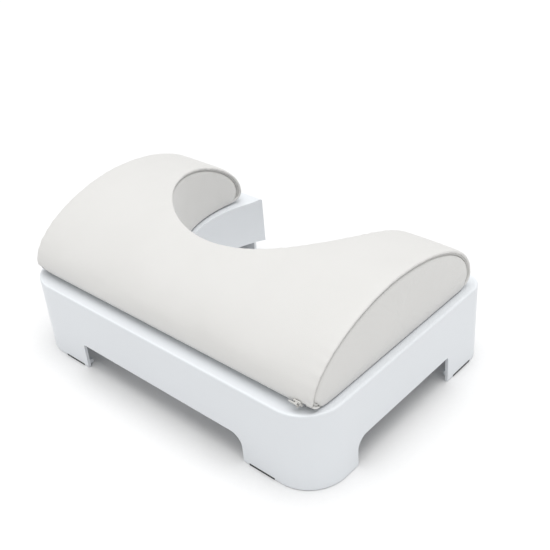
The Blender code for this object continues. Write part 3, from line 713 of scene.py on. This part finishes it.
# ------------------------------------------------------------------ piping
def tube_mesh(name, path, radius, around=10):
    """A round cord along a path, with rounded ends."""
    ahead = unit(np.gradient(path, axis=0))
    turn = np.linspace(0, 2 * math.pi, around, endpoint=False)
    side = np.array([0.0, 0.0, 1.0])
    rows = []
    for i, (place, along) in enumerate(zip(path, ahead)):
        across = side - along * side.dot(along)
        if np.linalg.norm(across) < 0.2:
            across = np.array([1.0, 0, 0]) - along * along[0]
        side = unit(across)
        other = np.cross(along, side)
        r = radius * min(1.0, 0.25 + 0.4 * min(i, len(path) - 1 - i))
        rows.append(place + r * (np.cos(turn)[:, None] * side + np.sin(turn)[:, None] * other))
    mesh = grid_mesh(name, np.array(rows).transpose(1, 0, 2), loop=True)
    work = bmesh.new()
    work.from_mesh(mesh)
    bmesh.ops.holes_fill(work, edges=[e for e in work.edges if e.is_boundary], sides=around + 2)
    bmesh.ops.recalc_face_normals(work, faces=work.faces)
    work.to_mesh(mesh)
    work.free()
    mesh.shade_smooth()
    return mesh


def end_piping(name, sign):
    s = np.linspace(PIPING_START, REAR_SEAM - PIPING_END, PIPING_STEPS)
    x = np.full(len(s), sign * (HALF_LENGTH - PIPING_SET_BACK))
    path = softened(np.column_stack([x, section(s, PIPING_DEPTH)]))
    return tube_mesh(name, path, PIPING_RADIUS)


def cut_piping(name):
    rx, ry = CUT_RX + PIPING_SET_BACK, CUT_RY + PIPING_SET_BACK
    s = np.linspace(REAR_SEAM - PIPING_END, FRONT_START, 8000)
    yz = section(s, PIPING_DEPTH)
    reach = 1 - ((yz[:, 0] - CUT_CENTRE_Y) / ry) ** 2
    last = int(np.argmax(reach < 0))
    path = np.column_stack([rx * np.sqrt(np.maximum(reach[:last], 0)), yz[:last]])
    path = np.vstack([path, [0.0, CUT_CENTRE_Y - ry, yz[last, 1]]])
    return tube_mesh(name, evenly(mirrored(path), CUT_PIPING_STEPS), PIPING_RADIUS)


def make_cover():
    top = cover_panel("cushion_top", REAR_SEAM, HALF_SLIT, 0.0, LIP, TOP_FOLD, drawn_in)
    piece("cushion_top", upholster(top, TOP_SWELL), COVER, "pillow", "cover_cloth",
          "cover_top_panel")
    bottom = cover_panel("cushion_bottom", REAR_SEAM + REAR_GAP, GIRTH - HALF_SLIT, LOW_SET_BACK,
                         LOW_LIP, LOW_FOLD)
    piece("cushion_bottom", bottom, COVER, "pillow", "cover_cloth", "cover_bottom_panel")
    for side, sign in (("left", -1), ("right", 1)):
        end = upholster(end_panel("cushion_end_" + side, sign), SIDE_SWELL)
        piece("cushion_end_" + side, end, COVER, "pillow", "cover_cloth",
              "cover_end_panel_" + side)
        # the piping takes the darkened cloth, painted shade of the groove
        piping = end_piping("cushion_piping_" + side, sign)
        piece("cushion_piping_" + side, piping, PAINTED_SHADE_PIPING_CLOTH, "pillow", "cover_cloth",
              "seam_welt_" + side)
    wall = upholster(cutout_wall("cushion_cutout"), SIDE_SWELL)
    piece("cushion_cutout", wall, COVER, "pillow", "cover_cloth", "cover_cutout_panel")
    piece("cushion_piping_cutout", cut_piping("cushion_piping_cutout"), PAINTED_SHADE_PIPING_CLOTH, "pillow",
          "cover_cloth", "seam_welt_cutout")


# ------------------------------------------------------------------ stand
def arc(centre, radius, start, stop, steps):
    """Points of an arc, angles in degrees, both ends included."""
    angles = np.radians(np.linspace(start, stop, steps + 1))
    return [(centre[0] + radius * math.cos(a), centre[1] + radius * math.sin(a)) for a in angles]


def circle(radius):
    """A circle about the middle of the stand's cut-out."""
    return arc((0, STAND_CUT_Y), radius, 0, 360, CIRCLE_STEPS)[:-1]


def stand_outline(inset):
    """The stand's plan: a rectangle with wide front corners and tighter rear corners."""
    x, y = STAND_X - inset, STAND_Y - inset
    front, rear = max(FRONT_CORNER - inset, 0.0008), max(REAR_CORNER - inset, 0.0008)
    points = arc((x - front, -y + front), front, -90, 0, CORNER_STEPS)
    points += arc((x - rear, y - rear), rear, 0, 90, CORNER_STEPS)
    points += arc((-x + rear, y - rear), rear, 90, 180, CORNER_STEPS)
    points += arc((-x + front, -y + front), front, 180, 270, CORNER_STEPS)
    return points


def stand_rings():
    """Outer wall, rounded rim, narrow land, then the concave slope down to the dish floor."""
    rings = [(FOOT_CHAMFER, STAND_FOOT_Z), (0.0, STAND_FOOT_Z + FOOT_CHAMFER)]
    rings.append((0.0, RIM_Z - RIM_ROUND))
    for a in np.radians(np.linspace(0, 90, 7))[1:]:
        rings.append((RIM_ROUND * (1 - math.cos(a)), RIM_Z - RIM_ROUND * (1 - math.sin(a))))
    rings.append((RIM_LAND, RIM_Z))
    for share in np.linspace(0, 1, 18)[1:]:
        rings.append((RIM_LAND + DISH_SLOPE * share, DECK_TOP + DISH_DEPTH * (1 - share) ** 2))
    return [[(x, y, z) for x, y in stand_outline(inset)] for inset, z in rings]


def solid(name, rings):
    """A closed loft through rings of points, for shaping the stand."""
    work = bmesh.new()
    loops = [[work.verts.new(p) for p in ring] for ring in rings]
    count = len(rings[0])
    work.faces.new(list(reversed(loops[0])))
    for low, high in zip(loops, loops[1:]):
        for i in range(count):
            j = (i + 1) % count
            work.faces.new((low[i], low[j], high[j], high[i]))
    work.faces.new(loops[-1])
    mesh = bpy.data.meshes.new(name)
    bmesh.ops.recalc_face_normals(work, faces=work.faces)
    work.to_mesh(mesh)
    work.free()
    obj = bpy.data.objects.new(name, mesh)
    SCENE.collection.objects.link(obj)
    return obj


def upright(name, outline, low, high):
    """An outline in (x, y), run from low to high."""
    return solid(name, [[(x, y, z) for x, y in outline] for z in (low, high)])


def sideways(name, outline, low, high, axis):
    """An outline in (along, z), run from low to high along the other level axis."""
    def ring(t):
        return [(u, t, z) if axis == "Y" else (t, u, z) for u, z in outline]
    return solid(name, [ring(low), ring(high)])


def cuboid(name, low, high):
    outline = [(low[0], low[1]), (high[0], low[1]), (high[0], high[1]), (low[0], high[1])]
    return upright(name, outline, low[2], high[2])


def notch(low, high, round_low, round_high):
    """The opening between two legs, from below the floor to the skirt's edge."""
    floor = -0.010
    points = [(low, floor), (high, floor)]
    points += arc((high - round_high, SKIRT_BOTTOM - round_high), round_high, 0, 90, 10)
    points += arc((low + round_low, SKIRT_BOTTOM - round_low), round_low, 90, 180, 10)
    return points


def combine(target, other, operation):
    """A boolean, applied, with the other object used up."""
    modifier = target.modifiers.new(other.name, "BOOLEAN")
    modifier.operation = operation
    modifier.solver = "EXACT"
    modifier.object = other
    graph = bpy.context.evaluated_depsgraph_get()
    mesh = bpy.data.meshes.new_from_object(target.evaluated_get(graph), depsgraph=graph)
    target.modifiers.clear()
    target.data = mesh
    bpy.data.objects.remove(other, do_unlink=True)


def add_pad_seat(shell, low, high, front):
    """The thickened leg foot that a rubber pad is let into, and the recess for the pad."""
    low, high = list(low), list(high)
    seat_low, seat_high = list(low), list(high)
    cut_low, cut_high = [v - PAD_GAP for v in low], [v + PAD_GAP for v in high]
    if front:
        seat_low[0] -= PAD_SEAT_SPARE
        seat_high[0] += PAD_SEAT_SPARE
        seat_low[1], seat_high[1] = -STAND_Y + WALL / 2, -STAND_Y + PAD_SEAT_DEPTH
        cut_low[1] -= PAD_RECESS_PAST
    else:
        sign = 1 if low[0] > 0 else -1
        seat_low[1] -= PAD_SEAT_SPARE
        seat_high[1] += PAD_SEAT_SPARE
        seat_low[0], seat_high[0] = sorted((sign * (STAND_X - WALL / 2),
                                            sign * (STAND_X - PAD_SEAT_DEPTH)))
        if sign > 0:
            cut_high[0] += PAD_RECESS_PAST
        else:
            cut_low[0] -= PAD_RECESS_PAST
    seat_low[2], seat_high[2] = STAND_FOOT_Z + PAD_GAP, PAD_SEAT_TOP
    cut_low[2] -= PAD_RECESS_PAST
    combine(shell, cuboid("pad_seat", seat_low, seat_high), "UNION")
    combine(shell, cuboid("pad_recess", cut_low, cut_high), "DIFFERENCE")


def make_stand():
    """The CAD's shell with a finer mesh and rounded edges."""
    shell = solid("stand_moulding", stand_rings())
    hollow = upright("hollow", stand_outline(WALL), -0.02, DECK_TOP - WALL)
    combine(hollow, upright("keep", circle(STAND_CUT_RADIUS + WALL), -0.03, 0.2), "DIFFERENCE")
    combine(shell, hollow, "DIFFERENCE")
    combine(shell, upright("cut", circle(STAND_CUT_RADIUS), -0.05, 0.25), "DIFFERENCE")
    across, along = (-LEG_EDGE_X, LEG_EDGE_X), (FRONT_LEG_EDGE_Y, REAR_LEG_EDGE_Y)
    narrow, wide = NOTCH_ROUND, NOTCH_ROUND_WIDE
    for name, edges, rounds, reach, axis in (
            ("front", across, (narrow, wide), (-FAR, -NOTCH_FROM_Y), "Y"),
            ("rear", across, (narrow, narrow), (NOTCH_FROM_Y, FAR), "Y"),
            ("right", along, (wide, narrow), (NOTCH_FROM_X, FAR), "X"),
            ("left", along, (narrow, narrow), (-FAR, -NOTCH_FROM_X), "X")):
        combine(shell, sideways(name, notch(*edges, *rounds), *reach, axis), "DIFFERENCE")
    under_wall = circle(STAND_CUT_RADIUS + WALL + 0.001)
    combine(shell, upright("under_wall", under_wall, -0.01, SKIRT_BOTTOM), "DIFFERENCE")
    for place in PADS:
        add_pad_seat(shell, *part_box("foot_pad_" + place), place.startswith("front"))
    mesh = shell.data
    work = bmesh.new()
    work.from_mesh(mesh)
    bmesh.ops.dissolve_limit(work, angle_limit=math.radians(0.3), verts=work.verts,
                             edges=work.edges)
    work.to_mesh(mesh)
    work.free()
    bpy.data.objects.remove(shell, do_unlink=True)
    mesh.shade_smooth()
    stand = piece("stand_moulding", mesh, PLASTIC, "stand", "stand_plastic", "stand_shell")
    round_edges(stand, 0.0009, 3, 40).harden_normals = True
    level = stand.modifiers.new("even_shading", "WEIGHTED_NORMAL")
    level.keep_sharp = True
    level.weight = 100


# ------------------------------------------------------------------ carried-over CAD nodes
def dress_nodes():
    looks = {"foot_pad_" + place: RUBBER for place in PADS}
    looks.update(inner_liner=LINER, comfort_layer=SOFT_FOAM, foam_core=FIRM_FOAM,
                 zip_tape_upper=TAPE, zip_tape_lower=TAPE, zip_coil_upper=NYLON,
                 zip_coil_lower=NYLON, zip_stop_start=ZINC, zip_stop_end=ZINC,
                 zip_slider=ENAMEL, zip_pull_tab=ENAMEL)
    for name, material in looks.items():
        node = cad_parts[name]
        if not node.material_slots:
            node.data.materials.append(material)
        for place in node.material_slots:
            place.material = material
    for name in ("zip_slider", "zip_pull_tab", "zip_stop_start", "zip_stop_end"):
        round_edges(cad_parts[name], 0.00025, 2, 35)


# ------------------------------------------------------------------ floor, light, camera
def make_stage():
    """A pale floor under an even white sky."""
    mesh = bpy.data.meshes.new("floor")
    work = bmesh.new()
    bmesh.ops.create_grid(work, x_segments=1, y_segments=1, size=40.0)
    work.to_mesh(mesh)
    work.free()
    mesh.materials.append(floor_material())
    floor = bpy.data.objects.new("floor", mesh)
    SCENE.collection.objects.link(floor)
    world = bpy.data.worlds.new("studio")
    SCENE.world = world
    world.use_nodes = True
    back = world.node_tree.nodes["Background"]
    back.inputs["Color"].default_value = (1.0, 1.0, 1.0, 1.0)
    back.inputs["Strength"].default_value = 0.61
    SCENE.view_settings.view_transform = "Standard"


def make_light():
    """One wide, soft light from almost straight above."""
    lamp = bpy.data.lights.new("overhead", "SUN")
    lamp.energy = 1.90
    lamp.angle = math.radians(52.0)
    obj = bpy.data.objects.new("overhead", lamp)
    obj.rotation_euler = Vector((0.06, 0.02, 1.0)).to_track_quat("Z", "Y").to_euler()
    SCENE.collection.objects.link(obj)


def make_camera():
    """The photograph's view: turned 46 degrees to the right of the front, 33 degrees up."""
    azimuth, elevation, roll = (math.radians(turn) for turn in (46.27, 33.06, -6.13))
    distance = 0.98275
    back = Vector((math.sin(azimuth) * math.cos(elevation),
                   -math.cos(azimuth) * math.cos(elevation), math.sin(elevation)))
    right = Vector((math.cos(azimuth), math.sin(azimuth), 0.0))
    up = back.cross(right)
    right, up = (right * math.cos(roll) + up * math.sin(roll),
                 up * math.cos(roll) - right * math.sin(roll))
    lens = bpy.data.cameras.new("camera")
    lens.lens = 59.49
    lens.sensor_width = 36.0
    lens.shift_x = 0.0554
    lens.shift_y = 0.0035
    lens.clip_start = 0.01
    camera = bpy.data.objects.new("camera", lens)
    turned = Matrix((right, up, back)).transposed().to_4x4()
    camera.matrix_world = Matrix.Translation(Vector((0, 0, RIM_Z)) + back * distance) @ turned
    SCENE.collection.objects.link(camera)
    SCENE.camera = camera


make_cover()
make_stand()
dress_nodes()
make_stage()
make_light()
make_camera()

bpy.context.view_layer.update()
